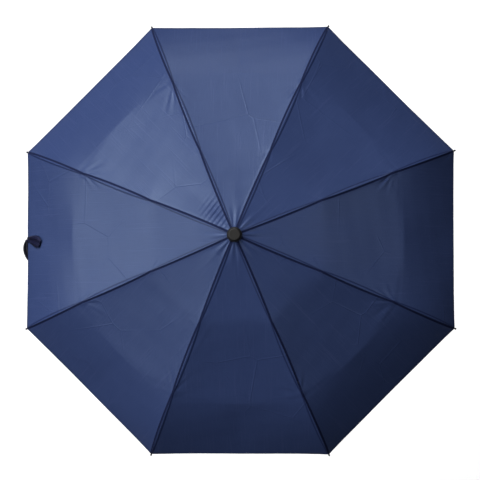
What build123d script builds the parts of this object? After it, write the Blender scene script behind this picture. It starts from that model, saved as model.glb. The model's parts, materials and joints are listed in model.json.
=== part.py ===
from build123d import *
import math
import os

# Three-fold umbrella, open, with its three-tube shaft drawn out. Millimetres.
# +Z runs along the shaft to the top cap, and the origin is the middle of the grip.
# Each of the eight ribs folds in a zigzag: top rib, mid rib, outer rib, with a stretcher from the
# runner and a link rod that turns the mid rib. A rib is drawn in its own plane, X outwards and Z up,
# and turned round the shaft. Its members are drawn along X and then drooped about Y.

# ---- Driving dimensions ----
RIB_COUNT = 8
RIB_START_DEG = 22.5
PIVOT_R = 10.0  # crown pivots and runner pivots stand this far from the shaft's axis
CROWN_Z = 530.0  # height of the crown pivots above the middle of the grip
STRETCHER_L = 90.0  # runner pivot to rib pivot, and crown pivot to rib pivot
TOP_RIB_L = 185.0
MID_RIB_L = 170.0
OUTER_RIB_L = 175.0
TOP_DROOP = 16.0
MID_DROOP = 23.0
OUTER_DROOP = 37.0
BRACKET_DEG = 3.0  # the stretcher's pivot lies this far below the top rib, seen from the crown
HINGE_OFFSET = 2.6  # rib hinges stand this far off the ribs' centre lines

# ---- Rib sections ----
CHANNEL_W = 4.4
CHANNEL_H = 4.0
SHEET = 0.5
TONGUE_W = 3.2
STRETCHER_W = 3.2
EAR_R = 2.0
EYE_R = 1.9
EYE_HOLE_R = 0.85
PIN_R = 1.0
PIN_HEAD_R = 1.6
HEAD_INNER = 2.35  # heads and cranks start this far from the rib's middle plane
HEAD_T = 0.55
TOP_CHANNEL_START = 9.5
STRETCHER_END = 6.0  # the stretcher's channel stops this far from its two pivots
HINGE_END = 5.0  # the mid rib's channel and the outer rib's ferrule start this far from their hinges
CHANNEL_PAST = 1.0
TONGUE_LAP = 2.0
WINDOW_BACK = 8.0  # the top rib's web ends this far short of its hinge
ROD_R = 1.2
ROD_START = 10.0
ROD_BOW = 7.0
FERRULE_END = 16.0
TIP_START = 166.0
TIP_R = 1.7
TIP_BALL_R = 2.1
TIP_REACH = 4.5

# ---- Link rod and its two cranks ----
CRANK_TOP_L = 6.0
CRANK_TOP_DEG = 260.0
CRANK_MID_L = 3.9
CRANK_MID_DEG = 280.0
CRANK_R = 1.4
CRANK_PIN_R = 0.6
LINK_INNER = 3.05
LINK_OUTER = 3.85
LINK_R = 0.37
LINK_EYE_R = 1.15
LINK_SLACK_R = 1.0  # hole at the free end of the link
LINK_SLACK_EYE_R = 1.5
LINK_LAP = 0.5
CRANK_HEAD_R = 1.35
CRANK_PIN_PROUD = 0.5
CRANK_HEAD_GAP = 0.15

# ---- Shaft ----
UPPER_R, UPPER_WALL = 6.0, 0.65
MIDDLE_R, MIDDLE_WALL = 5.2, 0.55
LOWER_R, LOWER_WALL = 4.5, 0.6
UPPER_BOTTOM_Z = CROWN_Z - 205.0
UPPER_TOP_Z = CROWN_Z + 1.0
MIDDLE_BOTTOM_Z = CROWN_Z - 354.0
MIDDLE_TOP_Z = CROWN_Z - 154.0
LOWER_TOP_Z = CROWN_Z - 314.0
LOWER_BOTTOM_Z = -20.0
LOCK_NUB_R = 1.6
LOCK_HOLE_R = 1.75
LOCK_STRIP_T = 0.4
LOCK_STRIP_W = 3.0
LOCK_FRONT, LOCK_BACK = 0.75, 1.75  # the strip's two legs stand this far inside the tube's wall
LOCK_UP, LOCK_DOWN = 7.0, 5.0
LOCK_NUB_LAP = 0.2
LOCK_NUB_EDGE = 0.35
MIDDLE_LOCK_Z = MIDDLE_TOP_Z - 12.0
LOWER_LOCK_Z = LOWER_TOP_Z - 10.0
GROOVE_W = 3.2
GROOVE_DEPTH = 0.4
GROOVE_END_Z = CROWN_Z - 192.0
POCKET_HALF = 2.0
STOP_LENGTH = 3.0

# ---- Crown, cap and runner ----
HUB_R = 11.6
HUB_SLOT_W = 3.6
HUB_SLOT_R = 7.85
HUB_ROOF = 2.3
HUB_EDGE = 0.8
WIRE_R = 0.6
WIRE_GROOVE_R = 0.62
CROWN_BELOW = 4.2
CROWN_ABOVE = 4.6
POST_R = 5.5
POST_TOP = 11.0
CROWN_PIN_R = 0.9
CROWN_PIN_L = 17.0
CROWN_PIN_DROP = 1.5
WASHER_FROM, WASHER_TO = 5.8, 6.5
CAP_BASE_R = 15.3
CAP_TOP_R = 11.0
CAP_FROM, CAP_TO = 6.6, 14.6
CAP_RIM_H = 1.8
CAP_EDGE = 1.2
RUNNER_BORE_R = 6.1
SLEEVE_R = 8.0
SLEEVE_BELOW = 24.0
SLEEVE_RING_R = 9.2
SLEEVE_RING_H = 2.0
LATCH_PIVOT = (9.4, -13.5)
LATCH_EAR_R = 2.0
LATCH_EAR_Y = (3.3, 4.9)
LATCH_W = 6.0
LATCH_SIDE_PLAY = 0.3
LATCH_GAP_Z = -20.0
LATCH_OUTLINE = ((8.5, -5.3), (10.2, -5.3), (11.2, -12.0), (11.2, -23.0), (9.6, -23.0), (8.5, -13.5))
LATCH_EDGE = 0.8
LATCH_NUB_Z = -7.5
LATCH_NUB = ((5.68, 9.0), (-1.4, 1.4), (-9.1, -6.1))
LATCH_WINDOW_HALF = 1.8
LATCH_WINDOW_Z = (-9.5, -5.3)
LATCH_PIN_R = 0.8

# ---- Handle ----
GRIP_R = 14.0
GRIP_HALF = 25.0
HANDLE_TOP_Z = 40.0
HANDLE_BOTTOM_Z = -38.0
HANDLE_LIP_R = 17.0
HANDLE_FOOT_R = 13.5
HANDLE_FLARE = (15.0, 31.5)
HANDLE_WAIST = (13.8, -33.0)
LIP_H = 2.0
LIP_BEVEL = 1.2
PLUG_R = 10.0
PLUG_H = 8.0
END_CAP_R = 13.4
END_CAP_Z = -44.0
END_CAP_EDGE = 2.0
LUG_W, LUG_T = 13.0, 6.0
LUG_HOLE_R = 2.2
LUG_HOLE_Z = -49.0
HANDLE_PIN_Z = 30.0
HANDLE_PIN_R = 1.0
HANDLE_PIN_L = 27.0

# ---- Cloth ----
CLOTH_T = 0.4
CLOTH_HOLE_R = 7.0
CLOTH_FLAT_R = 12.4
CLOTH_Z = 4.9
OVER_MID_HINGE = 2.9  # the cloth's underside stands this far off the hinges and the bowed rod
OVER_OUTER_HINGE = 6.2
OVER_ROD_NEAR, OVER_ROD_FAR = 3.4, 2.8
ROD_BENDS = (0.27, 0.52, 0.77, 1.0)  # the cloth's bends over the rod, as shares of its length
STRAP_T = 2.0
STRAP_TAB = (30.0, 22.0)  # reach in from the hem, and width
STRAP_TAB_Y = -3.5
STRAP_TAIL = (17.0, 46.0)  # drop below the hem, and width
STRAP_TAIL_Y = -19.0
STRAP_OFF_CLOTH = 0.4
STRAP_OFF_HEM = 1.0

# ---- Fits and working values ----
FIT = 0.01  # a pin fixed in its hole is this much smaller
CLEAR = 0.02  # between pieces pushed together
PLAY = 0.05  # between pieces that turn or slide
MARGIN = 1.0  # cutting and lapping shapes run this far past
CUT = 60.0  # reach of cutting blocks


# ---- Places in a rib's plane, as (x, z) ----
def step(point, droop, along, up=0.0):
    """The point reached by going along a member that droops, and up square to it."""
    a = math.radians(droop)
    x = point[0] + along * math.cos(a) + up * math.sin(a)
    z = point[1] - along * math.sin(a) + up * math.cos(a)
    return (x, z)


CROWN_PIVOT = (PIVOT_R, CROWN_Z)
RISE = TOP_DROOP + BRACKET_DEG  # the stretcher rises as steeply as the line to its pivot falls
RIB_PIVOT = step(CROWN_PIVOT, RISE, STRETCHER_L)
RUNNER_Z = CROWN_Z - 2 * STRETCHER_L * math.sin(math.radians(RISE))
RUNNER_PIVOT = (PIVOT_R, RUNNER_Z)
MID_HINGE = step(CROWN_PIVOT, TOP_DROOP, TOP_RIB_L, HINGE_OFFSET)
OUTER_HINGE = step(MID_HINGE, MID_DROOP, MID_RIB_L, -2 * HINGE_OFFSET)
BRACKET_U = STRETCHER_L * math.cos(math.radians(BRACKET_DEG))
BRACKET_V = -STRETCHER_L * math.sin(math.radians(BRACKET_DEG))


def polar(length, degrees):
    a = math.radians(degrees)
    return (length * math.cos(a), length * math.sin(a))


def crank_end(pivot, droop, length, degrees):
    dx, dz = polar(length, degrees)
    return step(pivot, droop, dx, dz)


LINK_START = crank_end(RIB_PIVOT, -RISE, CRANK_TOP_L, CRANK_TOP_DEG)
LINK_END = crank_end(MID_HINGE, MID_DROOP, CRANK_MID_L, CRANK_MID_DEG)


# ---- Shape helpers ----
def block(x, y, z):
    """A box from three (low, high) pairs."""
    size = (x[1] - x[0], y[1] - y[0], z[1] - z[0])
    centre = ((x[0] + x[1]) / 2, (y[0] + y[1]) / 2, (z[0] + z[1]) / 2)
    return Pos(*centre) * Box(*size)


def disc(centre, radius, y_low, y_high):
    """A cylinder along Y in a member's own plane."""
    middle = (y_low + y_high) / 2
    return Pos(centre[0], middle, centre[1]) * Rot(90, 0, 0) * Cylinder(radius, y_high - y_low)


def bar(start, end, radius, y_low, y_high):
    """A flat bar along Y's thickness with round ends."""
    length = math.dist(start, end)
    angle = math.degrees(math.atan2(end[1] - start[1], end[0] - start[0]))
    plate = block((0, length), (y_low, y_high), (-radius, radius))
    plate = Pos(start[0], 0, start[1]) * Rot(0, -angle, 0) * plate
    return plate + disc(start, radius, y_low, y_high) + disc(end, radius, y_low, y_high)


def tube(radius, wall, z_low, z_high):
    middle = (z_low + z_high) / 2
    length = z_high - z_low
    return Pos(0, 0, middle) * (Cylinder(radius, length) - Cylinder(radius - wall, length))


def cylinder_z(radius, z_low, z_high):
    return Pos(0, 0, (z_low + z_high) / 2) * Cylinder(radius, z_high - z_low)


def ring_wire(radius, z):
    return Pos(0, 0, z) * Torus(PIVOT_R, radius)


def channel(u_low, u_high, width):
    """A folded sheet channel, open below."""
    half = CHANNEL_H / 2
    outside = block((u_low, u_high), (-width / 2, width / 2), (-half, half))
    inner = width / 2 - SHEET
    inside = block((u_low - MARGIN, u_high + MARGIN), (-inner, inner), (-half - MARGIN, half - SHEET))
    return outside - inside


def tongue(eye, until, hole_r, width):
    """A solid flat end: a round eye carried to where the channel starts."""
    half = width / 2
    shape = disc(eye, EYE_R, -half, half)
    direction = 1 if until > eye[0] else -1
    low, high = sorted((eye[0], until + direction * TONGUE_LAP))
    web_half = CHANNEL_H / 2 - SHEET
    v_low, v_high = min(eye[1] - EYE_R, -web_half), max(eye[1] + EYE_R, web_half)
    shape += block((low, high), (-half, half), (v_low, v_high))
    return shape - disc(eye, hole_r, -CUT, CUT)


def ears(eye, inner, outer, reach_v):
    """Two round ears about a hinge, joined to the channel's side walls."""
    shape = None
    for side in (-1, 1):
        y_low, y_high = sorted((side * inner, side * outer))
        ear = disc(eye, EAR_R, y_low, y_high)
        low, high = sorted((eye[1], reach_v))
        ear += block((eye[0] - EAR_R, eye[0] + EAR_R), (y_low, y_high), (low, high))
        shape = ear if shape is None else shape + ear
    return shape


def crank(pivot, length, degrees):
    """A pivot pin with a head on one side, and on the other a crank that carries a small pin."""
    tip = polar(length, degrees)
    tip = (pivot[0] + tip[0], pivot[1] + tip[1])
    pin = disc(pivot, PIN_R - FIT, -HEAD_INNER - HEAD_T, HEAD_INNER + HEAD_T)
    head = disc(pivot, PIN_HEAD_R, -HEAD_INNER - HEAD_T, -HEAD_INNER)
    arm = bar(pivot, tip, CRANK_R, HEAD_INNER, HEAD_INNER + HEAD_T)
    small_pin = disc(tip, CRANK_PIN_R, HEAD_INNER, LINK_OUTER + CRANK_PIN_PROUD)
    small_head = disc(tip, CRANK_HEAD_R, LINK_OUTER + CRANK_HEAD_GAP, LINK_OUTER + CRANK_PIN_PROUD)
    return pin + head + arm + small_pin + small_head


# ---- Rib members, each in its own frame ----
def top_rib():
    """Crown pivot at the origin. Ears rise at the mid hinge and hang down for the stretcher."""
    half = CHANNEL_H / 2
    side_in, side_out = CHANNEL_W / 2 - SHEET, CHANNEL_W / 2
    body = channel(TOP_CHANNEL_START, TOP_RIB_L + CHANNEL_PAST, CHANNEL_W)
    body += tongue((0, 0), TOP_CHANNEL_START, EYE_HOLE_R, TONGUE_W)
    body -= block((TOP_RIB_L - WINDOW_BACK, TOP_RIB_L + CUT), (-side_in, side_in), (0, CUT))
    body += ears((TOP_RIB_L, HINGE_OFFSET), side_in, side_out, -half)
    body += ears((BRACKET_U, BRACKET_V), side_in, side_out, half - SHEET)
    body -= disc((TOP_RIB_L, HINGE_OFFSET), PIN_R + PLAY, -CUT, CUT)
    body -= disc((BRACKET_U, BRACKET_V), PIN_R + PLAY, -CUT, CUT)
    return [body]


def stretcher():
    """Runner pivot at the origin, rib pivot at the far end."""
    body = channel(STRETCHER_END, STRETCHER_L - STRETCHER_END, STRETCHER_W)
    body += tongue((0, 0), STRETCHER_END, EYE_HOLE_R, STRETCHER_W)
    body += tongue((STRETCHER_L, 0), STRETCHER_L - STRETCHER_END, PIN_R, STRETCHER_W)
    return [body, crank((STRETCHER_L, 0), CRANK_TOP_L, CRANK_TOP_DEG)]


def mid_rib():
    """Top rib's hinge near the origin, above the channel, and the outer rib's hinge below its far end."""
    half = CHANNEL_H / 2
    body = channel(HINGE_END, MID_RIB_L + CHANNEL_PAST, CHANNEL_W)
    eye = (0, HINGE_OFFSET)
    body += tongue(eye, HINGE_END, PIN_R, TONGUE_W)
    side_in, side_out = CHANNEL_W / 2 - SHEET, CHANNEL_W / 2
    hinge = (MID_RIB_L, -HINGE_OFFSET)
    body += ears(hinge, side_in, side_out, half - SHEET)
    body -= disc(hinge, PIN_R, -CUT, CUT)
    rivet = disc(hinge, PIN_R - FIT, -HEAD_INNER - HEAD_T, HEAD_INNER + HEAD_T)
    for side in (-1, 1):
        y_low, y_high = sorted((side * (side_out + CLEAR), side * (HEAD_INNER + HEAD_T)))
        rivet += disc(hinge, PIN_HEAD_R, y_low, y_high)
    return [body, crank(eye, CRANK_MID_L, CRANK_MID_DEG), rivet]


def outer_rib():
    """A bowed glass-fibre rod in a folded ferrule, with a ball-ended tip cap for the cloth's corner."""
    half = CHANNEL_H / 2
    eye = (0, -HINGE_OFFSET)
    ferrule = tongue(eye, HINGE_END, PIN_R + PLAY, TONGUE_W)
    ferrule += block((HINGE_END, FERRULE_END), (-half, half), (-half, half))
    middle = (ROD_START + OUTER_RIB_L) / 2
    path = ThreePointArc((ROD_START, 0, 0), (middle, 0, ROD_BOW), (OUTER_RIB_L, 0, 0))
    section = Plane(origin=path @ 0, z_dir=path % 0) * Circle(ROD_R)
    rod = sweep(section, path)
    end_dir = path % 1
    turn = math.degrees(math.atan2(-end_dir.Z, end_dir.X))
    tip = cylinder_z(TIP_R, -(OUTER_RIB_L - TIP_START), TIP_REACH)
    tip += Pos(0, 0, TIP_REACH) * Sphere(TIP_BALL_R)
    tip = Pos(OUTER_RIB_L, 0, 0) * Rot(0, 90 + turn, 0) * tip
    return [ferrule - rod, rod, tip - rod]


def link_rod():
    """Drawn in the rib's plane: a round eye on the stretcher's crank, a loose eye on the mid rib's crank."""
    body = disc(LINK_START, LINK_EYE_R, LINK_INNER, LINK_OUTER)
    body += disc(LINK_END, LINK_SLACK_EYE_R, LINK_INNER, LINK_OUTER)
    length = math.dist(LINK_START, LINK_END)
    angle = math.degrees(math.atan2(LINK_END[1] - LINK_START[1], LINK_END[0] - LINK_START[0]))
    wire_length = length - LINK_EYE_R - LINK_SLACK_EYE_R + 2 * LINK_LAP
    wire = Pos(LINK_EYE_R - LINK_LAP + wire_length / 2, 0, 0) * Rot(0, 90, 0) * Cylinder(LINK_R, wire_length)
    middle_y = (LINK_INNER + LINK_OUTER) / 2
    body += Pos(LINK_START[0], middle_y, LINK_START[1]) * Rot(0, -angle, 0) * wire
    body -= disc(LINK_START, CRANK_PIN_R + PLAY, -CUT, CUT)
    body -= disc(LINK_END, LINK_SLACK_R, -CUT, CUT)
    return [body]


# ---- Crown, cap and runner ----
def rib_angles():
    return [RIB_START_DEG + 360.0 / RIB_COUNT * i for i in range(RIB_COUNT)]


def hub_slots(z_low, z_high):
    """Eight radial slots for rib ends."""
    slots = []
    for angle in rib_angles():
        slot = block((HUB_SLOT_R, CUT), (-HUB_SLOT_W / 2, HUB_SLOT_W / 2), (z_low, z_high))
        slots.append(Rot(0, 0, angle) * slot)
    return slots


def crown():
    body = cylinder_z(HUB_R, CROWN_Z - CROWN_BELOW, CROWN_Z + CROWN_ABOVE)
    body = fillet(body.edges().filter_by(GeomType.CIRCLE).group_by(Axis.Z)[-1], HUB_EDGE)
    body += cylinder_z(POST_R, CROWN_Z + CROWN_ABOVE - MARGIN, CROWN_Z + POST_TOP)
    body -= cylinder_z(UPPER_R + CLEAR, CROWN_Z - CUT, UPPER_TOP_Z + CLEAR)
    for slot in hub_slots(CROWN_Z - CUT, CROWN_Z + HUB_ROOF):
        body -= slot
    body -= ring_wire(WIRE_GROOVE_R, CROWN_Z)
    body -= crown_pin_shape(CROWN_PIN_R + CLEAR)
    return body


def crown_pin_shape(radius):
    return Pos(0, 0, CROWN_Z - CROWN_PIN_DROP) * Rot(0, 90, 0) * Cylinder(radius, CROWN_PIN_L)


def top_cap():
    """A shallow moulded button with a rounded shoulder."""
    profile = [
        (POST_R + PLAY, CAP_FROM),
        (CAP_BASE_R, CAP_FROM),
        (CAP_BASE_R, CAP_FROM + CAP_RIM_H),
        (CAP_TOP_R, CAP_TO),
        (0, CAP_TO),
        (0, POST_TOP + PLAY),
        (POST_R + PLAY, POST_TOP + PLAY),
    ]
    outline = [(r, CROWN_Z + z) for r, z in profile]
    face = make_face(Plane.XZ * Polyline(*outline, close=True))
    body = revolve(face, Axis.Z)
    rim = body.edges().filter_by(GeomType.CIRCLE).filter_by(lambda e: e.radius > POST_R + MARGIN)
    return fillet([e for e in rim if e.center().Z > CROWN_Z + CAP_FROM + MARGIN], CAP_EDGE)


def cap_washer():
    return tube(CLOTH_FLAT_R, CLOTH_FLAT_R - POST_R - PLAY, CROWN_Z + WASHER_FROM, CROWN_Z + WASHER_TO)


def runner():
    body = cylinder_z(HUB_R, RUNNER_Z - CROWN_ABOVE, RUNNER_Z + CROWN_BELOW)
    body += cylinder_z(SLEEVE_R, RUNNER_Z - SLEEVE_BELOW, RUNNER_Z)
    sleeve_z = RUNNER_Z - SLEEVE_BELOW
    body += cylinder_z(SLEEVE_RING_R, sleeve_z, sleeve_z + SLEEVE_RING_H)
    pivot_x, pivot_z = LATCH_PIVOT
    for side in (-1, 1):
        y_low, y_high = sorted((side * LATCH_EAR_Y[0], side * LATCH_EAR_Y[1]))
        ear = block((0, pivot_x), (y_low, y_high), (pivot_z - LATCH_EAR_R, pivot_z + LATCH_EAR_R))
        ear += disc(LATCH_PIVOT, LATCH_EAR_R, y_low, y_high)
        body += Pos(0, 0, RUNNER_Z) * ear
    gap_half = LATCH_W / 2 + LATCH_SIDE_PLAY
    ring_gap = block((SLEEVE_R, CUT), (-gap_half, gap_half), (-SLEEVE_BELOW - MARGIN, LATCH_GAP_Z))
    body -= Pos(0, 0, RUNNER_Z) * ring_gap
    body -= cylinder_z(RUNNER_BORE_R, RUNNER_Z - CUT, RUNNER_Z + CUT)
    for slot in hub_slots(RUNNER_Z - HUB_ROOF, RUNNER_Z + CUT):
        body -= slot
    body -= ring_wire(WIRE_GROOVE_R, RUNNER_Z)
    body -= Pos(0, 0, RUNNER_Z) * block((0, CUT), (-LATCH_WINDOW_HALF, LATCH_WINDOW_HALF), LATCH_WINDOW_Z)
    body -= Pos(0, 0, RUNNER_Z) * disc(LATCH_PIVOT, LATCH_PIN_R, -CUT, CUT)
    return body


def runner_latch():
    """A rocker: pressing its lower pad swings the nub out of the tube's groove."""
    face = make_face(Plane.XZ * Polyline(*LATCH_OUTLINE, close=True))
    body = extrude(face, LATCH_W / 2, both=True)
    body = fillet(body.edges().filter_by(Axis.Z).sort_by(Axis.X)[-2:], LATCH_EDGE)
    body += block(*LATCH_NUB)
    body -= disc(LATCH_PIVOT, LATCH_PIN_R + PLAY, -CUT, CUT)
    return Pos(0, 0, RUNNER_Z) * body


def latch_pin():
    return Pos(0, 0, RUNNER_Z) * disc(LATCH_PIVOT, LATCH_PIN_R - FIT, -LATCH_EAR_Y[1], LATCH_EAR_Y[1])


# ---- Shaft ----
def side_hole(radius, z):
    """A drilling towards +Y through one wall only."""
    return Pos(0, CUT / 2, z) * Rot(90, 0, 0) * Cylinder(radius, CUT)


def upper_tube():
    body = tube(UPPER_R, UPPER_WALL, UPPER_BOTTOM_Z, UPPER_TOP_Z)
    nub_z = RUNNER_Z + LATCH_NUB_Z
    floor = UPPER_R - GROOVE_DEPTH
    pocket = (nub_z - POCKET_HALF, nub_z + POCKET_HALF)
    track = (GROOVE_END_Z, nub_z - POCKET_HALF - STOP_LENGTH)
    for low, high in (pocket, track):
        body -= block((floor, CUT), (-GROOVE_W / 2, GROOVE_W / 2), (low, high))
    body -= side_hole(LOCK_HOLE_R, MIDDLE_LOCK_Z)
    body -= crown_pin_shape(CROWN_PIN_R + CLEAR)
    return body


def middle_tube():
    body = tube(MIDDLE_R, MIDDLE_WALL, MIDDLE_BOTTOM_Z, MIDDLE_TOP_Z)
    body -= side_hole(LOCK_HOLE_R, MIDDLE_LOCK_Z)
    body -= side_hole(LOCK_HOLE_R, LOWER_LOCK_Z)
    return body


def lower_tube():
    body = tube(LOWER_R, LOWER_WALL, LOWER_BOTTOM_Z, LOWER_TOP_Z)
    body -= side_hole(LOCK_HOLE_R, LOWER_LOCK_Z)
    body -= handle_pin_shape(HANDLE_PIN_R + PLAY)
    return body


def spring_lock(inner_r, end_r, z):
    """A hairpin strip inside a tube, with a nub that stands through the walls."""
    front = inner_r - LOCK_FRONT
    back = LOCK_BACK - inner_r
    half_w = LOCK_STRIP_W / 2
    middle = (front + back) / 2
    bend_r = (front - back) / 2
    top = z + LOCK_UP
    bottom = z - LOCK_DOWN
    body = block((-half_w, half_w), (front - LOCK_STRIP_T, front), (bottom, top))
    body += block((-half_w, half_w), (back, back + LOCK_STRIP_T), (bottom, top))
    bend = Rot(0, 90, 0) * (Cylinder(bend_r, LOCK_STRIP_W) - Cylinder(bend_r - LOCK_STRIP_T, LOCK_STRIP_W))
    bend &= block((-half_w, half_w), (-CUT, CUT), (-CUT, 0))
    body += Pos(0, middle, bottom) * bend
    foot = front - LOCK_NUB_LAP
    nub = Pos(0, (foot + end_r) / 2, z) * Rot(90, 0, 0) * Cylinder(LOCK_NUB_R, end_r - foot)
    nub = fillet(nub.edges().filter_by(GeomType.CIRCLE).sort_by(Axis.Y)[-1], LOCK_NUB_EDGE)
    return body + nub


# ---- Handle ----
def handle_pin_shape(radius):
    return Pos(0, 0, HANDLE_PIN_Z) * Rot(0, 90, 0) * Cylinder(radius, HANDLE_PIN_L)


def handle_grip():
    """A turned grip with a straight middle, a flared mouth and a waisted foot."""
    lip_z = HANDLE_TOP_Z - LIP_H
    foot_end = (HANDLE_FOOT_R, HANDLE_BOTTOM_Z)
    foot = Spline((GRIP_R, -GRIP_HALF), HANDLE_WAIST, foot_end, tangents=[(0, -1), (-0.3, -1)])
    flare = Spline((GRIP_R, GRIP_HALF), HANDLE_FLARE, (HANDLE_LIP_R, lip_z), tangents=[(0, 1), (0.3, 1)])
    outline = Line((GRIP_R, -GRIP_HALF), (GRIP_R, GRIP_HALF)) + foot + flare
    top = Polyline((HANDLE_LIP_R, lip_z), (HANDLE_LIP_R - LIP_BEVEL, HANDLE_TOP_Z), (0, HANDLE_TOP_Z))
    core = Polyline((0, HANDLE_TOP_Z), (0, HANDLE_BOTTOM_Z), foot_end)
    body = revolve(make_face(Plane.XZ * (outline + top + core)), Axis.Z)
    body -= cylinder_z(LOWER_R + CLEAR, LOWER_BOTTOM_Z, HANDLE_TOP_Z + MARGIN)
    body -= cylinder_z(PLUG_R + CLEAR, HANDLE_BOTTOM_Z - MARGIN, HANDLE_BOTTOM_Z + PLUG_H + CLEAR)
    body -= handle_pin_shape(HANDLE_PIN_R + PLAY)
    return body


def handle_end_cap():
    """A plug with a lug and eye for a wrist strap."""
    body = cylinder_z(END_CAP_R, END_CAP_Z, HANDLE_BOTTOM_Z - PLAY)
    body = fillet(body.edges().filter_by(GeomType.CIRCLE).group_by(Axis.Z)[0], END_CAP_EDGE)
    body += cylinder_z(PLUG_R, HANDLE_BOTTOM_Z - MARGIN, HANDLE_BOTTOM_Z + PLUG_H - 2 * PLAY)
    lug = block((-LUG_T / 2, LUG_T / 2), (-LUG_W / 2, LUG_W / 2), (LUG_HOLE_Z, END_CAP_Z + MARGIN))
    lug += Pos(0, 0, LUG_HOLE_Z) * Rot(0, 90, 0) * Cylinder(LUG_W / 2, LUG_T)
    body += lug
    body -= Pos(0, 0, LUG_HOLE_Z) * Rot(0, 90, 0) * Cylinder(LUG_HOLE_R, CUT)
    return body


# ---- Cloth ----
def cloth_profile():
    """The underside of the canopy along a rib, as (radius, height), from the crown to the hem."""
    points = [(CLOTH_HOLE_R, CROWN_Z + CLOTH_Z), (CLOTH_FLAT_R, CROWN_Z + CLOTH_Z)]
    points.append(step(MID_HINGE, (TOP_DROOP + MID_DROOP) / 2, 0, OVER_MID_HINGE))
    points.append(step(OUTER_HINGE, (MID_DROOP + OUTER_DROOP) / 2, 0, OVER_OUTER_HINGE))
    for share in ROD_BENDS:
        bow = ROD_BOW * (1 - (2 * share - 1) ** 2)
        lift = OVER_ROD_NEAR + (OVER_ROD_FAR - OVER_ROD_NEAR) * share
        along = OUTER_RIB_L * share
        points.append(step(OUTER_HINGE, OUTER_DROOP, along, HINGE_OFFSET + bow + lift))
    return points


def canopy():
    """Eight gores as one thin shell, flat between neighbouring ribs."""
    under = cloth_profile()
    over = [(r, z + CLOTH_T) for r, z in under]

    def corner(point, index):
        a = math.radians(RIB_START_DEG + 360.0 / RIB_COUNT * index)
        return Vector(point[0] * math.cos(a), point[0] * math.sin(a), point[1])

    def panel(first, second, index):
        ring = [corner(first, index), corner(second, index)]
        ring += [corner(second, index + 1), corner(first, index + 1)]
        return Face(Wire.make_polygon(ring, close=True))

    faces = []
    for i in range(RIB_COUNT):
        for inner, outer in zip(under, under[1:]):
            faces.append(panel(inner, outer, i))
        for inner, outer in zip(over, over[1:]):
            faces.append(panel(inner, outer, i))
        faces.append(panel(under[0], over[0], i))
        faces.append(panel(under[-1], over[-1], i))
    return Solid(Shell(faces))


def tie_strap():
    """The closing strap sewn to the hem of one gore: a folded tab on the cloth and a tail over the edge."""
    flat = math.cos(math.radians(180.0 / RIB_COUNT))
    inner, hem = cloth_profile()[-2:]
    hem_r, hem_z = hem[0] * flat, hem[1] + CLOTH_T
    slope = (inner[1] - hem[1]) / (inner[0] * flat - hem_r)
    back, tab_width = STRAP_TAB
    drop, tail_width = STRAP_TAIL
    near, far = hem_r + STRAP_OFF_HEM, hem_r + STRAP_OFF_HEM + STRAP_T
    tab_end = (hem_r - back, hem_z - back * slope + STRAP_OFF_CLOTH)
    tab_edge = (near, hem_z + STRAP_OFF_HEM * slope + STRAP_OFF_CLOTH)
    tab_over = (far, tab_edge[1] + STRAP_T)
    tab = [tab_end, tab_edge, (near, hem_z - drop), (far, hem_z - drop), tab_over]
    tab.append((tab_end[0], tab_end[1] + STRAP_T))
    tail = [(near, hem_z - drop), (far, hem_z - drop), (far, hem_z), (near, hem_z)]
    strap = None
    for outline, middle, width in ((tab, STRAP_TAB_Y, tab_width), (tail, STRAP_TAIL_Y, tail_width)):
        face = make_face(Plane.XZ * Polyline(*[(-r, z) for r, z in outline], close=True))
        solid = Pos(0, middle, 0) * extrude(face, width / 2, both=True)
        strap = solid if strap is None else strap + solid
    return strap


# ---- Writing ----
def write(name, shapes):
    solids = [solid for shape in shapes for solid in shape.solids()]
    shape = solids[0] if len(solids) == 1 else Compound(children=solids)
    export_step(shape, f"parts/{name}.step")


def place(shapes, pivot, droop, offset, angle):
    """Moves a member from its own frame to its rib: its offset point goes to the pivot."""
    move = Rot(0, 0, angle) * Pos(pivot[0], 0, pivot[1]) * Rot(0, droop, 0) * Pos(-offset[0], 0, -offset[1])
    return [move * shape for shape in shapes]


def write_ribs():
    members = {
        "top_rib": (top_rib(), CROWN_PIVOT, TOP_DROOP, (0, 0)),
        "stretcher": (stretcher(), RUNNER_PIVOT, -RISE, (0, 0)),
        "mid_rib": (mid_rib(), MID_HINGE, MID_DROOP, (0, HINGE_OFFSET)),
        "outer_rib": (outer_rib(), OUTER_HINGE, OUTER_DROOP, (0, -HINGE_OFFSET)),
        "link_rod": (link_rod(), (0, 0), 0, (0, 0)),
    }
    for number, angle in enumerate(rib_angles(), start=1):
        for name, (shapes, pivot, droop, offset) in members.items():
            write(f"{name}_{number}", place(shapes, pivot, droop, offset, angle))


os.makedirs("parts", exist_ok=True)
write_ribs()
write("handle_grip", [handle_grip()])
write("handle_end_cap", [handle_end_cap()])
write("handle_pin", [handle_pin_shape(HANDLE_PIN_R)])
write("lower_tube", [lower_tube()])
write("lower_lock", [spring_lock(LOWER_R - LOWER_WALL, MIDDLE_R - PLAY, LOWER_LOCK_Z)])
write("middle_tube", [middle_tube()])
write("middle_lock", [spring_lock(MIDDLE_R - MIDDLE_WALL, UPPER_R - PLAY, MIDDLE_LOCK_Z)])
write("upper_tube", [upper_tube()])
write("crown", [crown()])
write("crown_wire", [ring_wire(WIRE_R, CROWN_Z)])
write("crown_pin", [crown_pin_shape(CROWN_PIN_R)])
write("cap_washer", [cap_washer()])
write("top_cap", [top_cap()])
write("runner", [runner()])
write("runner_wire", [ring_wire(WIRE_R, RUNNER_Z)])
write("runner_latch", [runner_latch()])
write("latch_pin", [latch_pin()])
write("canopy", [canopy()])
write("tie_strap", [tie_strap()])
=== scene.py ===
import json
import math

import bpy
import numpy as np
from mathutils import Matrix, Vector


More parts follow.
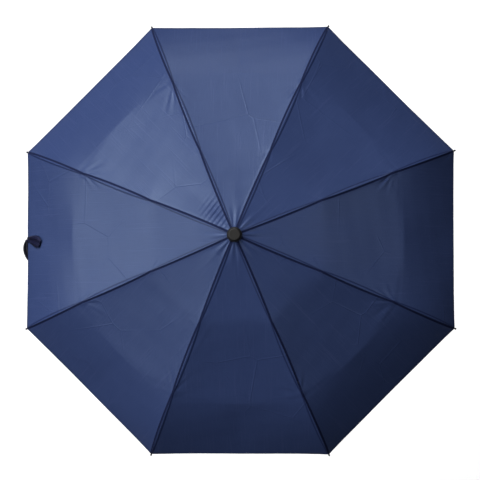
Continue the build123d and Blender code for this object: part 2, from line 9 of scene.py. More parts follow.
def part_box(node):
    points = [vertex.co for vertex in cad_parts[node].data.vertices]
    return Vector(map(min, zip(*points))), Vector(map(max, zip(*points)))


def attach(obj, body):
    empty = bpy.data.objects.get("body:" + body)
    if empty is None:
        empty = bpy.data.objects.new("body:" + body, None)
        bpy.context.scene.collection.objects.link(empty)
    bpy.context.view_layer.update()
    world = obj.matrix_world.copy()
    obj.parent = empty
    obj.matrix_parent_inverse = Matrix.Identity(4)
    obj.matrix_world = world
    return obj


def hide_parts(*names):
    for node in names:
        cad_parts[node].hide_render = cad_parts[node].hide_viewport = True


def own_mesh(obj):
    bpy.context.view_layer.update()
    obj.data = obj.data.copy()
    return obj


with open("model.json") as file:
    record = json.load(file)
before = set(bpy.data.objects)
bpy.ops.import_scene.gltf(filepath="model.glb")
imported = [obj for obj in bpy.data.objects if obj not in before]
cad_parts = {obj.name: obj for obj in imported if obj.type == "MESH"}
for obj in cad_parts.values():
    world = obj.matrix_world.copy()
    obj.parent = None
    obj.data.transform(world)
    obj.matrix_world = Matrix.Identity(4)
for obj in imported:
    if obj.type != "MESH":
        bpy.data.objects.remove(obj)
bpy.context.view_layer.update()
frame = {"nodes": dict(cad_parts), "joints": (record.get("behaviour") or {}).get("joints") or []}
MM = 0.001

# ---- Where the frame is ----
RIBS = 8
PITCH = 2 * math.pi / RIBS
HALF_PITCH = PITCH / 2
JOINTS = {joint["name"]: joint for joint in frame["joints"]}


def rib_plane(point):
    """A point's distance from the shaft and its height."""
    return np.array([math.hypot(point[0], point[1]), point[2]])


def rib_end():
    """The point of an outer rib that is furthest from the shaft."""
    vertices = frame["nodes"]["outer_rib_1"].data.vertices
    return max((rib_plane(vertex.co) for vertex in vertices), key=lambda point: point[0])


INNER_HINGE = rib_plane(JOINTS["mid_rib_turn_1"]["pos_m"])
OUTER_HINGE = rib_plane(JOINTS["outer_rib_turn_1"]["pos_m"])
FIRST_RIB = math.atan2(JOINTS["fold"]["pos_m"][1], JOINTS["fold"]["pos_m"][0])
RIB_ANGLES = [FIRST_RIB + PITCH * i for i in range(RIBS)]
TIP_END = rib_end()
CANOPY_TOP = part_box("canopy")[1].z

# ---- Canopy: driving sizes ----
CROWN_HOLE = 7.2 * MM
CROWN_FLAT = 12.6 * MM
OVER_INNER = 3.3 * MM  # cloth over the inner hinge, square to the ribs
OVER_OUTER = 6.0 * MM  # cloth over the outer hinge
ROD_BOW = 9.0 * MM  # rise of the cloth over the straight line from the outer hinge to the tip
TIP_BACK = 6.4 * MM  # the cloth's corner stops this far short of the rib's end
TIP_ABOVE = 1.9 * MM
KINK_PAST = 10.0 * MM  # the cloth bends this far past the outer hinge
ROWS = (75, 38, 46)  # rows of faces in the top, mid and outer zone
CROWN_ROWS = 3
ROW_SPREAD = 1.25  # rows are closer together near the crown
FINE_STEP = 1.1 * MM  # columns beside a rib are this far apart
FINE_COLUMNS = 12
WIDE_COLUMNS = 20
HALF_COLUMNS = FINE_COLUMNS + WIDE_COLUMNS
RING = RIBS * 2 * HALF_COLUMNS
HEM_IN = 1.5 * MM  # the hem bows in by this much between two tips
HEM_UP = 2.5 * MM
BEND_LATE = 27 * MM  # in mid panel, the outer bend comes this much nearer the hem
BEND_LATE_REACH = 2.2 * BEND_LATE
BEND_SOFT = (45 * MM, 12 * MM)  # in mid panel, the softness of the bends over the inner and the outer hinges
RIB_SOFT = (11 * MM, 3.0 * MM)  # the same over a rib
SOFT_CHANGE = 40 * MM  # the softness changes from this far past the inner hinge to this far before the outer
BEND_STEPS = 16  # the bend is worked out for this many steps from a rib to mid panel
PANEL_BOW = 0.25  # share of the outer ribs' bow that the cloth between them takes
DIP_SHARE = 0.013  # sag of a panel between two ribs, as a share of its width
CLOTH_GAP = 0.35 * MM  # the cloth lies this far above the CAD canopy's top
HEM_FOLD = 8.0 * MM
# Rows that carry the cloth round the hem's edge: how far inwards and down, how far the cloth has turned over,
# and the length of cloth used. Lengths are in mm.
HEM_ROWS = (
    (-0.35, 0.35, 0.0, 0.4),
    (0.0, 0.75, 0.7, 0.9),
    (1.0, 0.8, 1.0, 1.4),
    (HEM_FOLD / MM, 0.7, 1.0, HEM_FOLD / MM),
)
LINE_SAMPLES = 1200


# ---- Canopy: the line over a rib, and the line down the middle of a panel ----
def bell(x, width):
    return np.exp(-0.5 * (x / width) ** 2)


def smooth_line(points, width):
    """Points along a line, averaged over a width in metres, with both ends kept."""
    steps = np.linalg.norm(np.diff(points, axis=0), axis=1)
    at = np.concatenate([[0], np.cumsum(steps)])
    even = np.linspace(0, at[-1], LINE_SAMPLES)
    line = np.column_stack([np.interp(even, at, points[:, k]) for k in range(2)])
    spacing = at[-1] / (LINE_SAMPLES - 1)
    reach = int(3 * width / spacing)
    kernel = np.exp(-0.5 * (np.arange(-reach, reach + 1) * spacing / width) ** 2)
    kernel /= kernel.sum()
    before = 2 * line[0] - line[reach:0:-1]
    after = 2 * line[-1] - line[-2:-reach - 2:-1]
    padded = np.vstack([before, line, after])
    smooth = np.column_stack([np.convolve(padded[:, k], kernel, "valid") for k in range(2)])
    return np.column_stack([np.interp(at, even, smooth[:, k]) for k in range(2)])


def over(hinge, before, after, height):
    """A point over a hinge, square to the line from the point before it to the point after it."""
    a = math.atan2(*(after - before)[::-1])
    return hinge + height * np.array([-math.sin(a), math.cos(a)])


def soften(points, widths, along, start, end):
    """A line smoothed by one width up to start, by another after end, and by a mix of them between."""
    share = np.clip((along - start) / (end - start), 0, 1)[:, None]
    return smooth_line(points, widths[0]) * (1 - share) + smooth_line(points, widths[1]) * share


def rib_line():
    """Cloth points over a rib, from the crown to the hem."""
    crown = np.array([CROWN_HOLE, CANOPY_TOP + CLOTH_GAP])
    shoulder = np.array([CROWN_FLAT, CANOPY_TOP + CLOTH_GAP])
    inner = over(INNER_HINGE, shoulder, OUTER_HINGE, OVER_INNER)
    outer = over(OUTER_HINGE, INNER_HINGE, TIP_END, OVER_OUTER)
    rod = (TIP_END - OUTER_HINGE) / np.linalg.norm(TIP_END - OUTER_HINGE)
    tip = TIP_END - TIP_BACK * rod + TIP_ABOVE * np.array([-rod[1], rod[0]])
    mid_rib = (OUTER_HINGE - INNER_HINGE) / np.linalg.norm(OUTER_HINGE - INNER_HINGE)
    kink = outer + KINK_PAST * mid_rib
    shares = (np.arange(ROWS[0] - CROWN_ROWS) / (ROWS[0] - CROWN_ROWS)) ** ROW_SPREAD
    points = [crown + (shoulder - crown) * k / CROWN_ROWS for k in range(CROWN_ROWS)]
    points += [shoulder + (inner - shoulder) * share for share in shares]
    points += [inner + (outer - inner) * k / ROWS[1] for k in range(ROWS[1])]
    points += [outer, (outer + kink) / 2]
    chord = (tip - kink) / np.linalg.norm(tip - kink)
    square = np.array([-chord[1], chord[0]])
    for share in np.linspace(0, 1, ROWS[2] - 1):
        bow = ROD_BOW * 4 * share * (1 - share)
        points.append(kink + (tip - kink) * share + square * bow)
    points = np.array(points)
    radius = points[:, 0]
    return soften(points, RIB_SOFT, radius, inner[0] + SOFT_CHANGE, outer[0] - SOFT_CHANGE)


RIB_LINE = rib_line()
ROW_COUNT = len(RIB_LINE)
ZONE_ROWS = [0, ROWS[0], ROWS[0] + ROWS[1], ROW_COUNT - 1]
ALONG = np.concatenate([[0], np.cumsum(np.linalg.norm(np.diff(RIB_LINE, axis=0), axis=1))])
INNER_AT, OUTER_AT, HEM_AT = (ALONG[row] for row in ZONE_ROWS[1:])


def panel_bend(t):
    """How far the cloth lies from the chord between two ribs, as (outwards, up) for each row.

    It bends later and more softly than the ribs do. t goes from 0 at a rib to 1 in mid panel.
    """
    chord = RIB_LINE * [math.cos(HALF_PITCH), 1]
    steps = np.diff(chord, axis=0)
    lengths = np.linalg.norm(steps, axis=1)
    at = np.cumsum(lengths) - lengths / 2
    inner_at, outer_at = lengths[:ZONE_ROWS[1]].sum(), lengths[:ZONE_ROWS[2]].sum()
    lateness = BEND_LATE * math.sin(0.5 * math.pi * t)
    late = lateness * bell(at - outer_at - BEND_LATE, BEND_LATE_REACH)
    slope = np.arctan2(steps[:, 1], steps[:, 0])
    outer = at > outer_at
    drop = chord[-1] - chord[ZONE_ROWS[2]]
    slope[outer] += (1 - PANEL_BOW) * t * (math.atan2(drop[1], drop[0]) - slope[outer])
    slope = np.interp(at - late, at, slope)
    soft = [rib + (panel - rib) * t for rib, panel in zip(RIB_SOFT, BEND_SOFT)]
    start, end = inner_at + SOFT_CHANGE, outer_at - SOFT_CHANGE
    slope = soften(np.column_stack([at, slope]), soft, at, start, end)[:, 1]
    run = np.cumsum(lengths[:, None] * np.column_stack([np.cos(slope), np.sin(slope)]), axis=0)
    bend = np.vstack([[0, 0], chord[0] + run - chord[1:]])
    return bend - (ALONG / HEM_AT)[:, None] ** 3 * bend[-1]


def panel_pull():
    """The sag and the hem's bow in mid panel, as (outwards, up) for each row."""
    share = ALONG / HEM_AT
    sag = DIP_SHARE * 2 * RIB_LINE[:, 0] * math.sin(HALF_PITCH) * np.sin(np.pi * share) ** 0.8
    return share[:, None] ** 6 * np.array([-HEM_IN, HEM_UP]) - sag[:, None] * [0.4, 1]


PANEL_BENDS = np.array([panel_bend(step / BEND_STEPS) for step in range(BEND_STEPS + 1)])
PANEL_BENDS -= PANEL_BENDS[0].copy()
PANEL_PULL = panel_pull()


# ---- Canopy: the sheet as one closed ring of columns ----
def column_distances(half_width):
    """Distances from a rib along the chord, out to the middle of the panel."""
    fine_reach = min(FINE_COLUMNS * FINE_STEP, 0.6 * half_width)
    fine = np.linspace(0, fine_reach, FINE_COLUMNS + 1)
    wide = np.linspace(fine_reach, half_width, WIDE_COLUMNS + 1)
    return np.concatenate([fine, wide[1:]])


def base_sheet():
    """For each row and column: position, signed distance from the rib and share of the way to mid panel."""
    sheet = np.zeros((ROW_COUNT, RING, 3))
    signed = np.zeros((ROW_COUNT, RING))
    share = np.zeros((ROW_COUNT, RING))
    for row, (radius, height) in enumerate(RIB_LINE):
        half_width = radius * math.sin(HALF_PITCH)
        distances = column_distances(half_width)
        for rib, angle in enumerate(RIB_ANGLES):
            start = np.array([radius * math.cos(angle), radius * math.sin(angle), height])
            for side in (-1, 1):
                middle_angle = angle + side * HALF_PITCH
                out = np.array([math.cos(middle_angle), math.sin(middle_angle), 0])
                chord = side * np.array([-math.sin(middle_angle), math.cos(middle_angle), 0])
                for k in range(HALF_COLUMNS + (side > 0)):
                    column = (rib * 2 * HALF_COLUMNS + side * k) % RING
                    x = distances[k]
                    t = x / half_width
                    step = min(int(t * BEND_STEPS), BEND_STEPS - 1)
                    part = t * BEND_STEPS - step
                    bend = PANEL_BENDS[step, row] * (1 - part) + PANEL_BENDS[step + 1, row] * part
                    tautly = 1 - (1 - t) ** (2.2 + 2.0 * (ALONG[row] / HEM_AT) ** 4)
                    push = bend + PANEL_PULL[row] * tautly
                    sheet[row, column] = start + chord * x + out * push[0] + np.array([0, 0, push[1]])
                    signed[row, column] = side * x
                    share[row, column] = t
    return sheet, signed, share


def normals_of(sheet):
    across = np.roll(sheet, -1, axis=1) - np.roll(sheet, 1, axis=1)
    down = np.gradient(sheet, axis=0)
    normals = np.cross(down, across)
    normals /= np.linalg.norm(normals, axis=2, keepdims=True)
    return normals


# ---- Canopy: wrinkles, all in metres along the sheet's normal ----
SEAM_SIDES = (-1, 1, 1, -1, 1, -1, 1, -1)  # the side of each rib that its seam is on
# How far the seam lies from the rib's line at a joint, and how much further between joints
SEAM_OUT, SEAM_DRIFT = 0.4 * MM, 3.0 * MM
EDGE_OUT, EDGE_DRIFT = 0.6 * MM, 4.4 * MM  # the same for the rib's other edge
# Relief over a rib: the cloth's lift, the seam, the foot beside it and the groove at the other edge
RIB_LIFT, RIB_SHOULDER = 0.55 * MM, 1.2 * MM
SEAM_DEPTH, SEAM_WIDTH = 0.9 * MM, 1.1 * MM
FOOT_OUT, FOOT_HEIGHT, FOOT_WIDTH = 2.8 * MM, 0.25 * MM, 1.6 * MM
GROOVE_DEPTH, GROOVE_WIDTH = 0.40 * MM, 1.3 * MM
RIB_RELIEF_FROM = 25 * MM  # the relief over a rib has its full height from here on
# Bumps over the hinges: place along the cloth, height, width across the rib and width along it
HINGE_BUMPS = (
    (OUTER_AT, 0.9 * MM, 5 * MM, 6 * MM),
    (INNER_AT, 0.4 * MM, 4 * MM, 5 * MM),
)
# Short folds that spread from a place along the rib: the place, their number, length and height
FANS = (
    (OUTER_AT, 7, 48 * MM, 0.55 * MM),
    (INNER_AT, 4, 30 * MM, 0.22 * MM),
    (HEM_AT, 4, 40 * MM, 0.3 * MM),
)
FAN_SEED = 40
SLACK_PANEL = 2  # the panel with slack folds near the crown
CROWN_FOLD_HEIGHT, SLACK_FOLD_HEIGHT, SLACK_FOLD_PITCH = 0.6 * MM, 1.15 * MM, 10.5 * MM
CROWN_FOLDS_FROM, CROWN_FOLDS_AT, CROWN_FOLDS_SPREAD = 8 * MM, 30 * MM, 17 * MM
SLACK_AT, SLACK_SPREAD = (56 * MM, -7 * MM), (21 * MM, 15 * MM)  # along the cloth, and across the panel
CREASE_BOW = 15 * MM  # the pressed crease over the outer hinges lies this much further out in mid panel
CREASE_DEPTH, CREASE_WIDTH = 0.32 * MM, 3.0 * MM
SLOW_WAVE, QUICK_WAVE = 0.35 * MM, 0.12 * MM


def wave(x, width):
    """A fold: a ridge with a valley on one side, about one width each."""
    return x / width * np.exp(0.5 - 0.5 * (x / width) ** 2)


def between_joints(along):
    """0 where the cloth is tied to the rib, at the joints, and 1 half way between them."""
    rise = np.zeros_like(along)
    for start, end, reach in ((0, INNER_AT, 0.75), (INNER_AT, OUTER_AT, 1.0), (OUTER_AT, HEM_AT, 0.85)):
        inside = np.clip((along - start) / (end - start), 0, 1)
        rise += reach * np.sin(np.pi * inside) ** 0.6
    return rise


def seam_shift(rib, along):
    """The stitched seam lies along one edge of the rib."""
    return SEAM_SIDES[rib] * (SEAM_OUT + SEAM_DRIFT * between_joints(along))


def edge_shift(rib, along):
    """The rib's other edge shows through the cloth."""
    return -SEAM_SIDES[rib] * (EDGE_OUT + EDGE_DRIFT * between_joints(along))


def rib_relief(rib, signed, along):
    """The cloth is lifted over the rib, between the seam at one edge and a groove at the other."""
    seam_at, edge_at = seam_shift(rib, along), edge_shift(rib, along)
    middle, half = (seam_at + edge_at) / 2, np.abs(seam_at - edge_at) / 2 + RIB_SHOULDER
    lifted = RIB_LIFT * np.exp(-np.abs((signed - middle) / half) ** 4)
    seam = -SEAM_DEPTH * bell(signed - seam_at, SEAM_WIDTH)
    foot = FOOT_HEIGHT * bell(signed - seam_at - FOOT_OUT * np.sign(seam_at), FOOT_WIDTH)
    groove = -GROOVE_DEPTH * bell(signed - edge_at, GROOVE_WIDTH)
    return (lifted + seam + foot + groove) * np.clip(along / RIB_RELIEF_FROM, 0, 1)


def fan(signed, along, centre, count, length, height, generator):
    """Short folds that spread from a joint into the cloth beside it."""
    total = np.zeros_like(signed)
    for _ in range(count):
        angle = generator.uniform(0.35, 1.25) * math.pi * generator.choice([-1, 1])
        reach = length * generator.uniform(0.6, 1.3)
        start = generator.uniform(4, 9) * MM
        x = signed * math.sin(angle) + (along - centre) * math.cos(angle)
        y = signed * math.cos(angle) - (along - centre) * math.sin(angle)
        rise = np.clip((x - start) / (0.35 * reach), 0, 1)
        fall = np.clip((start + reach - x) / (0.65 * reach), 0, 1)
        width = (2.2 + 0.05 * np.clip(x, 0, None) / MM) * MM
        total += height * generator.uniform(0.5, 1.0) * (rise * fall) * wave(y, width)
    return total


def crown_folds(panel, x, along, radius):
    """Cloth gathered at the crown: folds that run out from it, and on one panel slack folds across it."""
    angle = x / np.maximum(radius, 1 * MM)
    start = np.clip((along - CROWN_FOLDS_FROM) / CROWN_FOLDS_FROM, 0, 1)
    near = bell(along - CROWN_FOLDS_AT, CROWN_FOLDS_SPREAD) * start
    phase = panel * 1.7
    folds = CROWN_FOLD_HEIGHT * near * np.cos(angle * 17 + phase) * np.cos(angle * 3.9)
    if panel == SLACK_PANEL:
        tilt = along + 0.15 * x
        envelope = bell(along - SLACK_AT[0], SLACK_SPREAD[0]) * bell(x - SLACK_AT[1], SLACK_SPREAD[1])
        slack = SLACK_FOLD_HEIGHT * envelope * np.cos(2 * math.pi * tilt / SLACK_FOLD_PITCH)
        folds = 0.4 * folds + slack
    return folds


def undulation(x, along, panel):
    """Long shallow waves left by folding. Their lengths are in metres."""
    k = 2 * math.pi
    slow = np.sin(k * (x / 0.19 + 0.13 * panel)) * np.sin(k * (along / 0.16 + 0.31 * panel))
    quick = np.sin(k * (x / 0.083 + along / 0.11 + 0.27 * panel)) * np.sin(k * (along / 0.075 - x / 0.13))
    return SLOW_WAVE * slow + QUICK_WAVE * quick


def relief(signed, share, sheet):
    """All displacement along the normal, for each point of the ring."""
    total = np.zeros_like(signed)
    along = np.repeat(ALONG[:, None], RING, axis=1)
    radius = np.linalg.norm(sheet[:, :, :2], axis=2)
    for rib in range(RIBS):
        columns = (rib * 2 * HALF_COLUMNS + np.arange(-HALF_COLUMNS, HALF_COLUMNS + 1)) % RING
        # The middle of a panel belongs to both its ribs, so a rib's own relief fades out towards it, and each
        # rib gives half of the crease there.
        s, a = signed[:, columns], along[:, columns]
        s = np.where(np.arange(s.shape[1]) < HALF_COLUMNS, -np.abs(s), np.abs(s))
        fade = 1 - share[:, columns] ** 4
        generator = np.random.default_rng(FAN_SEED + rib)
        part = rib_relief(rib, s, a)
        for centre, height, across, down in HINGE_BUMPS:
            part += height * bell(s, across) * bell(a - centre, down)
        for centre, count, length, height in FANS:
            part += fan(s, a, centre, count, length, height, generator)
        edge = (np.arange(len(columns)) == 0) | (np.arange(len(columns)) == len(columns) - 1)
        pressed = OUTER_AT + KINK_PAST + CREASE_BOW * np.sin(0.5 * math.pi * share[:, columns])
        crease = -CREASE_DEPTH * bell(a - pressed, CREASE_WIDTH) * (1 - 0.55 * share[:, columns])
        total[:, columns] += (part * fade + crease) * np.where(edge, 0.5, 1.0)
    for panel in range(RIBS):
        start = panel * 2 * HALF_COLUMNS
        columns = (start + np.arange(2 * HALF_COLUMNS + 1)) % RING
        half_width = RIB_LINE[:, 0:1] * math.sin(HALF_PITCH)
        toward = np.where(np.arange(len(columns)) <= HALF_COLUMNS, -1, 1)
        x = toward * (1 - share[:, columns]) * half_width
        a = along[:, columns]
        inside = 1 - (1 - share[:, columns]) ** 6
        part = crown_folds(panel, x, a, radius[:, columns]) + undulation(x, a, panel)
        total[:, columns] += part * inside * np.clip(a / (12 * MM), 0, 1)
    return total


def make_sheet():
    sheet, signed, share = base_sheet()
    sheet += normals_of(sheet) * relief(signed, share, sheet)[:, :, None]
    return sheet, signed, share


# ---- Materials ----
class Shader:
    """A material and a short way to add nodes to it."""

    def __init__(self, name):
        self.material = bpy.data.materials.new(name)
        self.material.use_nodes = True
        self.tree = self.material.node_tree
        self.surface = self.tree.nodes["Principled BSDF"]

    def put(self, socket, value):
        target = self.surface.inputs[socket]
        if isinstance(value, bpy.types.NodeSocket):
            self.tree.links.new(value, target)
        else:
            target.default_value = value

    def node(self, kind, inputs=None, **settings):
        made = self.tree.nodes.new(kind)
        for key, value in settings.items():
            setattr(made, key, value)
        for key, value in (inputs or {}).items():
            if isinstance(value, bpy.types.NodeSocket):
                self.tree.links.new(value, made.inputs[key])
            else:
                made.inputs[key].default_value = value
        return made

    def math(self, operation, *values, clamp=False):
        made = self.node("ShaderNodeMath", {k: v for k, v in enumerate(values)}, operation=operation)
        made.use_clamp = clamp
        return made.outputs[0]

    def noise(self, vector, scale, detail=3.0, roughness=0.5, stretch=None):
        if stretch:
            vector = self.node("ShaderNodeMapping", {"Vector": vector, "Scale": stretch}).outputs[0]
        made = self.node(
            "ShaderNodeTexNoise", {"Vector": vector, "Scale": scale, "Detail": detail, "Roughness": roughness}
        )
        return made.outputs[0]

    def ramp(self, value, low, high, out_low=0.0, out_high=1.0):
        made = self.node(
            "ShaderNodeMapRange",
            {"Value": value, "From Min": low, "From Max": high, "To Min": out_low, "To Max": out_high},
            interpolation_type="SMOOTHSTEP",
        )
        return made.outputs[0]

    def mix(self, share, first, second):
        made = self.node("ShaderNodeMix", data_type="RGBA")
        for socket, value in ((0, share), (6, first), (7, second)):
            if isinstance(value, bpy.types.NodeSocket):
                self.tree.links.new(value, made.inputs[socket])
            else:
                made.inputs[socket].default_value = value
        return made.outputs[2]

    def bump(self, height, distance, strength=1.0, normal=None):
        made = self.node("ShaderNodeBump", {"Height": height, "Distance": distance, "Strength": strength})
        if normal is not None:
            self.tree.links.new(normal, made.inputs["Normal"])
        return made.outputs[0]

    def attribute(self, name):
        return self.node("ShaderNodeAttribute", attribute_name=name).outputs["Fac"]

    def object_space(self):
        return self.node("ShaderNodeTexCoord").outputs["Object"]


NAVY = (0.0275, 0.0448, 0.126, 1)
NAVY_WORN = (0.0325, 0.0520, 0.142, 1)
NAVY_PALE = (0.044, 0.063, 0.165, 1)
# Near-black navy: the dark thread of the seams and hem, and also painted shade in the seam grooves and a
# painted shadow beside each rib's other edge.
NAVY_DARK = (0.0012, 0.0026, 0.0280, 1)
TAPE_DARK, TAPE_PALE = (0.0018, 0.0020, 0.0120, 1), (0.0046, 0.0050, 0.0250, 1)
TAPE_STITCH = (0.025, 0.028, 0.06, 1)
RUBBER, RUBBER_WORN = (0.012, 0.012, 0.014, 1), (0.026, 0.026, 0.029, 1)
WEAVE_PITCH, TAPE_WEAVE_PITCH, STITCH_PITCH = 0.5 * MM, 0.55 * MM, 2.6 * MM
GRIP_RING_PITCH = 2.5 * MM
GRIP_STRAIGHT = (21 * MM, 23 * MM)  # the rings end between these distances from the grip's middle


def weave_height(shader, uv, pitch):
    """A plain weave: two sets of threads that pass over and under each other."""
    split = shader.node("ShaderNodeSeparateXYZ", {"Vector": uv}).outputs
    across = shader.math("SINE", shader.math("MULTIPLY", split[0], math.pi / pitch))
    up = shader.math("SINE", shader.math("MULTIPLY", split[1], math.pi / pitch))
    return shader.math("MULTIPLY", across, up)


def band(shader, value, rise, fall):
    """1 between two limits of a value, with soft edges."""
    return shader.math("MULTIPLY", shader.ramp(value, *rise), shader.ramp(value, *fall, 1, 0))


def cloth_material():
    """Navy pongee: fine plain weave with slubs along the grain, fold creases, seams painted dark with their
    thread's colour and painted groove shade, a painted shadow beside each rib's other edge, and a stitched
    hem.
    """
    s = Shader("navy_pongee")
    uv = s.node("ShaderNodeUVMap", uv_map="Gore").outputs[0]
    seam = s.math("ABSOLUTE", s.attribute("from_seam"))
    rib_edge = s.math("ABSOLUTE", s.attribute("from_edge"))
    hem = s.attribute("from_hem")
    along = s.attribute("along")
    slubs = s.noise(uv, 90, 2.0, 0.6, stretch=(9.0, 0.35, 1))
    weft = s.noise(uv, 90, 2.0, 0.6, stretch=(0.35, 9.0, 1))
    blotch = s.noise(uv, 7, 4.0, 0.6)
    tone = s.math("ADD", s.math("MULTIPLY", slubs, 0.45), s.math("MULTIPLY", weft, 0.25))
    tone = s.math("ADD", tone, s.math("MULTIPLY", blotch, 0.3))
    threads = s.noise(uv, 1, 1.0, 0.5, stretch=(330, 7, 1))
    streaks = s.ramp(threads, 0.60, 0.70)
    colour = s.mix(s.ramp(tone, 0.35, 0.68), NAVY, NAVY_WORN)
    colour = s.mix(s.math("MULTIPLY", streaks, 0.35), colour, NAVY_PALE)
    # The seam is painted near-black navy: partly its dark thread, partly painted shade of its stitched
    # groove, the same on every rib whatever the light.
    seam_line = s.ramp(seam, 1.6 * MM, 3.2 * MM, 1, 0)
    colour = s.mix(s.math("MULTIPLY", seam_line, 0.93), colour, NAVY_DARK)
    # Painted shadow: a dark line on the cloth where the rib's other edge, under it, casts shade.
    edge_shadow = s.ramp(rib_edge, 0.6 * MM, 2.6 * MM, 1, 0)
    colour = s.mix(s.math("MULTIPLY", edge_shadow, 0.6), colour, NAVY_DARK)
    hem_line = band(s, hem, (6.6 * MM, 7.4 * MM), (7.6 * MM, 8.4 * MM))
    hem_band = s.ramp(hem, 0.8 * MM, 3.4 * MM, 1, 0)
    stitch = s.ramp(s.math("SINE", s.math("MULTIPLY", along, 2 * math.pi / STITCH_PITCH)), -0.2, 0.2)
    colour = s.mix(s.math("MULTIPLY", hem_line, 0.45), colour, NAVY_DARK)
    colour = s.mix(s.math("MULTIPLY", hem_band, 0.85), colour, NAVY_DARK)
    s.put("Base Color", colour)
    weave = weave_height(s, uv, WEAVE_PITCH)
    cells = s.node("ShaderNodeTexVoronoi", {"Vector": uv, "Scale": 7.5, "Randomness": 1.0},
                   feature="DISTANCE_TO_EDGE")
    crease = s.ramp(cells.outputs[0], 0.0, 0.014, 1, 0)
    faint = s.ramp(s.noise(uv, 5.0, 1.0), 0.46, 0.60)
    crease = s.math("MULTIPLY", crease, faint)
    normal = s.bump(weave, 0.04 * MM, 0.35)
    normal = s.bump(slubs, 0.10 * MM, 0.6, normal)
    normal = s.bump(streaks, 0.10 * MM, 0.6, normal)
    normal = s.bump(crease, 0.30 * MM, 0.8, normal)
    stitches = s.math("MULTIPLY", s.math("ADD", seam_line, hem_line, clamp=True), stitch)
    normal = s.bump(stitches, 0.15 * MM, 0.8, normal)
    s.put("Normal", normal)
    rough = s.ramp(tone, 0.3, 0.7, 0.35, 0.41)
    s.put("Roughness", s.math("ADD", rough, s.math("MULTIPLY", seam_line, 0.45)))
    s.put("IOR", 1.384)
    s.put("Specular Tint", (0.60, 0.76, 1.0, 1))
    s.put("Sheen Weight", 0.03)
    s.put("Sheen Roughness", 0.35)
    s.put("Sheen Tint", (0.45, 0.55, 1.0, 1))
    return s.material


def ribbon_material():
    """The tie strap: closer, darker polyester tape with stitched edges."""
    s = Shader("navy_tape")
    uv = s.node("ShaderNodeUVMap", uv_map="Gore").outputs[0]
    edge = s.attribute("from_edge")
    ribbing = s.noise(uv, 160, 2.0, 0.5, stretch=(0.4, 6.0, 1))
    colour = s.mix(s.ramp(ribbing, 0.35, 0.7), TAPE_DARK, TAPE_PALE)
    stitched = band(s, edge, (1.6 * MM, 2.0 * MM), (2.3 * MM, 2.7 * MM))
    colour = s.mix(s.math("MULTIPLY", stitched, 0.6), colour, TAPE_STITCH)
    s.put("Base Color", colour)
    normal = s.bump(weave_height(s, uv, TAPE_WEAVE_PITCH), 0.06 * MM, 0.5)
    normal = s.bump(stitched, 0.2 * MM, 0.7, normal)
    s.put("Normal", normal)
    s.put("Roughness", s.ramp(ribbing, 0.3, 0.7, 0.5, 0.62))
    s.put("IOR", 1.33)
    s.put("Specular Tint", (0.50, 0.55, 1.0, 1))
    s.put("Sheen Weight", 0.03)
    return s.material


def plastic_material(name, dark, light, rough, grain, scale):
    """Moulded plastic: fine spark-eroded grain, rubbed smoother and paler in patches."""
    s = Shader(name)
    place = s.object_space()
    fine = s.noise(place, scale, 4.0, 0.65)
    rubbed = s.ramp(s.noise(place, 60, 3.0), 0.42, 0.66)
    s.put("Base Color", s.mix(rubbed, dark, light))
    s.put("Roughness", s.math("ADD", s.ramp(fine, 0.3, 0.7, rough - 0.06, rough + 0.05),
                              s.math("MULTIPLY", rubbed, -0.07)))
    s.put("Normal", s.bump(fine, grain, 0.6))
    return s.material


def metal_material(name, colour, worn, rough, stretch):
    """Drawn or rolled metal: streaks along its length, specks and dull patches."""
    s = Shader(name)
    place = s.object_space()
    streak = s.noise(place, 900, 2.0, 0.6, stretch=stretch)
    dull = s.noise(place, 45, 4.0, 0.6)
    tone = s.ramp(s.math("ADD", s.math("MULTIPLY", streak, 0.5), s.math("MULTIPLY", dull, 0.5)), 0.4, 0.62)
    s.put("Base Color", s.mix(tone, colour, worn))
    s.put("Metallic", 1.0)
    s.put("Roughness", s.ramp(dull, 0.35, 0.7, rough, rough + 0.16))
    s.put("Normal", s.bump(streak, 0.004 * MM, 0.3))
    return s.material


def grip_material():
    """Soft-touch rubber with fine rings pressed into the straight part of the grip."""
    s = Shader("soft_touch_rubber")
    place = s.object_space()
    split = s.node("ShaderNodeSeparateXYZ", {"Vector": place}).outputs
    rings = s.math("SINE", s.math("MULTIPLY", split[2], 2 * math.pi / GRIP_RING_PITCH))
    straight = s.ramp(s.math("ABSOLUTE", split[2]), *GRIP_STRAIGHT, 1, 0)
    fine = s.noise(place, 1500, 3.0, 0.6)
    rubbed = s.ramp(s.noise(place, 45, 3.0), 0.45, 0.7)
    s.put("Base Color", s.mix(rubbed, RUBBER, RUBBER_WORN))
    s.put("Roughness", s.math("ADD", s.ramp(fine, 0.3, 0.7, 0.52, 0.64), s.math("MULTIPLY", rubbed, -0.1)))
    normal = s.bump(s.math("MULTIPLY", rings, straight), 0.25 * MM, 0.7)
    s.put("Normal", s.bump(fine, 0.03 * MM, 0.5, normal))
    return s.material


def floor_material():
    s = Shader("pale_floor")
    place = s.object_space()
    s.put("Base Color", s.mix(s.noise(place, 3, 4.0), (0.86, 0.86, 0.86, 1), (0.89, 0.89, 0.89, 1)))
    s.put("Roughness", 0.85)
    s.put("Emission Color", (1, 1, 1, 1))
    s.put("Emission Strength", 0.34)
    return s.material


# Name, dark colour, worn colour, roughness, height of the grain and its scale
PLASTICS = (
    ("black_plastic", (0.011, 0.011, 0.012, 1), (0.02, 0.02, 0.021, 1), 0.42, 0.03 * MM, 1400),
    ("cap_plastic", (0.0085, 0.0080, 0.0072, 1), (0.0150, 0.0140, 0.0130, 1), 0.50, 0.05 * MM, 1100),
    ("glass_fibre", (0.010, 0.010, 0.011, 1), (0.022, 0.022, 0.024, 1), 0.33, 0.02 * MM, 2000),
    ("thread", (0.010, 0.012, 0.028, 1), (0.020, 0.024, 0.050, 1), 0.7, 0.05 * MM, 2500),
)
